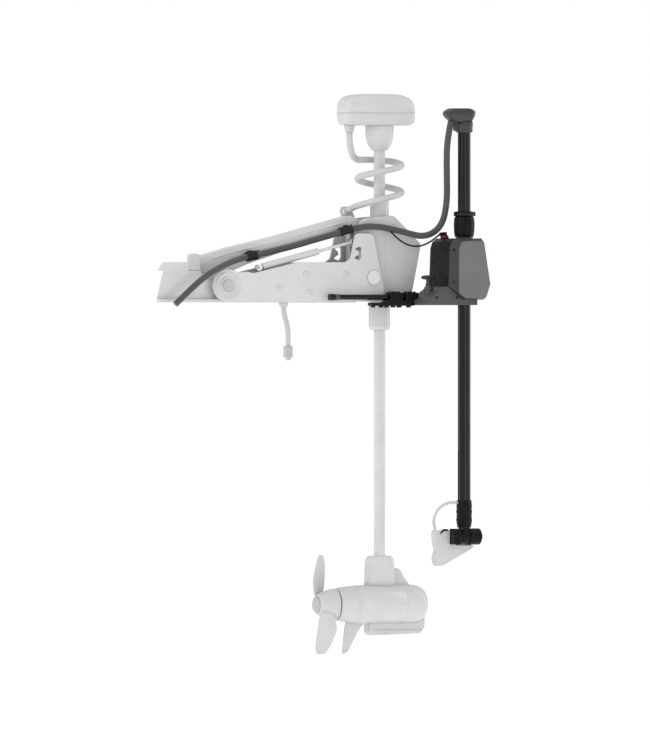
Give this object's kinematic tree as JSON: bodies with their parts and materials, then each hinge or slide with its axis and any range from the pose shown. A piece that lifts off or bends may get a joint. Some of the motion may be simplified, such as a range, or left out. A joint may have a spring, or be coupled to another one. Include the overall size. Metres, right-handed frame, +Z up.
{
  "type": "trolling motor",
  "caption": "Bow-mount electric trolling motor on a folding arm mount, with coiled lead, steered shaft, propeller and a clamped-on steerable sonar pole.",
  "frame": {"origin": "centre of the four deck bolts, on the underside of the mounting tray", "axes": "+Z up, +X outboard over the bow towards the shaft, +Y across the boat away from the sonar pole"},
  "size_m": [0.953, 0.3034, 1.573],
  "materials": {
    "pale_cast": "satin",
    "pale_plastic": "satin",
    "pale_dark": "matte",
    "steel": "satin",
    "black_plastic": "fine texture",
    "grey_plastic": "fine texture",
    "black_rubber": "matte",
    "pale_rubber": "matte",
    "black_anodised": "satin anodised",
    "bush": "smooth",
    "board": "satin",
    "copper": "satin"
  },
  "bodies": {
    "base": {"base_tray": "pale_cast", "rest_bumpers": "pale_rubber", "base_pins": "steel", "power_gland": "pale_rubber", "power_lead": "pale_rubber", "power_plug": "pale_dark"},
    "stow_arms": {"arm_plate_near": "pale_cast", "arm_plate_far": "pale_cast", "arm_pins": "steel", "arm_screws": "steel"},
    "gas_strut": {"strut_cylinder": "pale_cast"},
    "strut_piston": {"strut_rod": "steel"},
    "steering_housing": {"housing_shell_near": "pale_plastic", "housing_shell_far": "pale_plastic", "housing_yoke": "pale_cast", "housing_pins": "steel", "column_tube": "pale_cast", "guide_bushes": "bush", "rod_bracket": "black_plastic", "mount_bolts": "black_anodised", "support_rod": "black_anodised", "turret_foot": "black_plastic", "drive_box": "black_plastic", "drive_cover": "grey_plastic", "pole_motor": "steel", "cable_elbow": "black_plastic", "sensor_lead": "black_rubber"},
    "beam": {"upper_beam": "pale_cast", "hose_straps": "black_plastic", "hose_lower": "black_rubber"},
    "head": {"head_base": "pale_plastic", "head_cover": "pale_plastic", "neck": "pale_plastic", "head_board": "board", "steer_motor": "steel", "coil_lead": "pale_rubber"},
    "steering_pinion": {"steer_pinion": "bush"},
    "lower_shaft": {"shaft_tube": "pale_cast", "shaft_gear": "bush", "motor_shell": "pale_cast", "shaft_socket": "pale_cast", "sonar_pod": "pale_plastic", "stator": "copper", "bearings": "steel", "shaft_seal": "black_rubber"},
    "prop": {"rotor_shaft": "steel", "propeller": "pale_plastic", "prop_nut": "pale_plastic"},
    "pole_head": {"pole_cap": "grey_plastic", "hose_upper": "black_rubber"},
    "pole": {"pole_tube": "black_anodised", "pole_foot": "black_plastic", "transducer_lead": "pale_rubber"},
    "sonar": {"tilt_bracket": "black_plastic", "transducer": "pale_plastic"},
    "tilt_lock": {"tilt_knob": "black_plastic"},
    "gear_sleeve": {"pole_gear": "bush"},
    "pole_pinion": {"drive_pinion": "bush"},
    "foot_lock": {"clamp_knob": "black_plastic"},
    "collar": {"pole_collar": "black_plastic"}
  },
  "joints": [
    {"name": "stow_arm", "type": "hinge", "parent": "base", "child": "stow_arms", "pos_m": [-0.116, 0, 0.047], "axis": [0, -1, 0], "range_deg": [0, 140]},
    {"name": "housing_tilt", "type": "hinge", "parent": "stow_arms", "child": "steering_housing", "pos_m": [0.333, 0, 0.07], "axis": [0, -1, 0], "range_deg": [-50.5, 0.5]},
    {"name": "beam_swing", "type": "hinge", "parent": "steering_housing", "child": "beam", "pos_m": [0.328, 0, 0.212], "axis": [0, -1, 0], "range_deg": [-0.5, 46.5], "deforming": ["hose_lower"]},
    {"name": "strut_swing", "type": "hinge", "parent": "stow_arms", "child": "gas_strut", "pos_m": [-0.015, -0.054, 0.097], "axis": [0, -1, 0], "range_deg": [-3, 0.5]},
    {"name": "strut_extend", "type": "slide", "parent": "gas_strut", "child": "strut_piston", "axis": [0.9697, 0, 0.2441], "range_m": [-0.001, 0.098]},
    {"name": "depth_slide", "type": "slide", "parent": "steering_housing", "child": "head", "axis": [0, 0, 1], "range_m": [-0.05, 0.25], "deforming": ["coil_lead"]},
    {"name": "shaft_steer", "type": "hinge", "parent": "head", "child": "lower_shaft", "pos_m": [0.385, 0, 0], "axis": [0, 0, 1], "range_deg": [-150, 80]},
    {"name": "steer_pinion_turn", "type": "hinge", "parent": "head", "child": "steering_pinion", "pos_m": [0.337, 0, 0.512], "axis": [0, 0, 1], "range_deg": [-241, 451]},
    {"name": "prop_spin", "type": "hinge", "parent": "lower_shaft", "child": "prop", "pos_m": [0.22, 0, -0.847], "axis": [1, 0, 0], "continuous": true},
    {"name": "pole_slide", "type": "slide", "parent": "steering_housing", "child": "pole_head", "axis": [0, 0, 1], "range_m": [-0.05, 0.12], "deforming": ["hose_upper"]},
    {"name": "pole_steer", "type": "hinge", "parent": "pole_head", "child": "pole", "pos_m": [0.577, -0.15, 0], "axis": [0, 0, 1], "range_deg": [-180, 180]},
    {"name": "transducer_tilt", "type": "hinge", "parent": "pole", "child": "sonar", "pos_m": [0.56, -0.15, -0.656], "axis": [1, 0, 0], "range_deg": [-45, 45], "deforming": ["transducer_lead"]},
    {"name": "tilt_knob_turn", "type": "hinge", "parent": "sonar", "child": "tilt_lock", "pos_m": [0.6, -0.15, -0.656], "axis": [1, 0, 0], "range_deg": [0, 180]},
    {"name": "pole_gear_turn", "type": "hinge", "parent": "steering_housing", "child": "gear_sleeve", "pos_m": [0.577, -0.15, 0.04], "axis": [0, 0, 1], "range_deg": [-181, 181]},
    {"name": "pole_pinion_turn", "type": "hinge", "parent": "steering_housing", "child": "pole_pinion", "pos_m": [0.577, -0.192, 0.045], "axis": [0, 0, 1], "range_deg": [-451, 451]},
    {"name": "foot_knob_turn", "type": "hinge", "parent": "steering_housing", "child": "foot_lock", "pos_m": [0.47, -0.142, 0.06], "axis": [0, 0, 1], "range_deg": [0, 180]},
    {"name": "collar_turn", "type": "hinge", "parent": "steering_housing", "child": "collar", "pos_m": [0.577, -0.15, 0.22], "axis": [0, 0, 1], "range_deg": [0, 60]}
  ],
  "couplings": [
    {"joint": "housing_tilt", "follows": "stow_arm", "ratio": -0.35714},
    {"joint": "beam_swing", "follows": "stow_arm", "ratio": 0.32761},
    {"joint": "strut_swing", "follows": "stow_arm", "ratio": -0.015834},
    {"joint": "strut_extend", "follows": "stow_arm", "m_per_rad": 0.039616},
    {"joint": "steer_pinion_turn", "follows": "shaft_steer", "ratio": -3},
    {"joint": "pole_gear_turn", "follows": "pole_steer", "ratio": 1},
    {"joint": "pole_pinion_turn", "follows": "pole_steer", "ratio": -2.5}
  ]
}
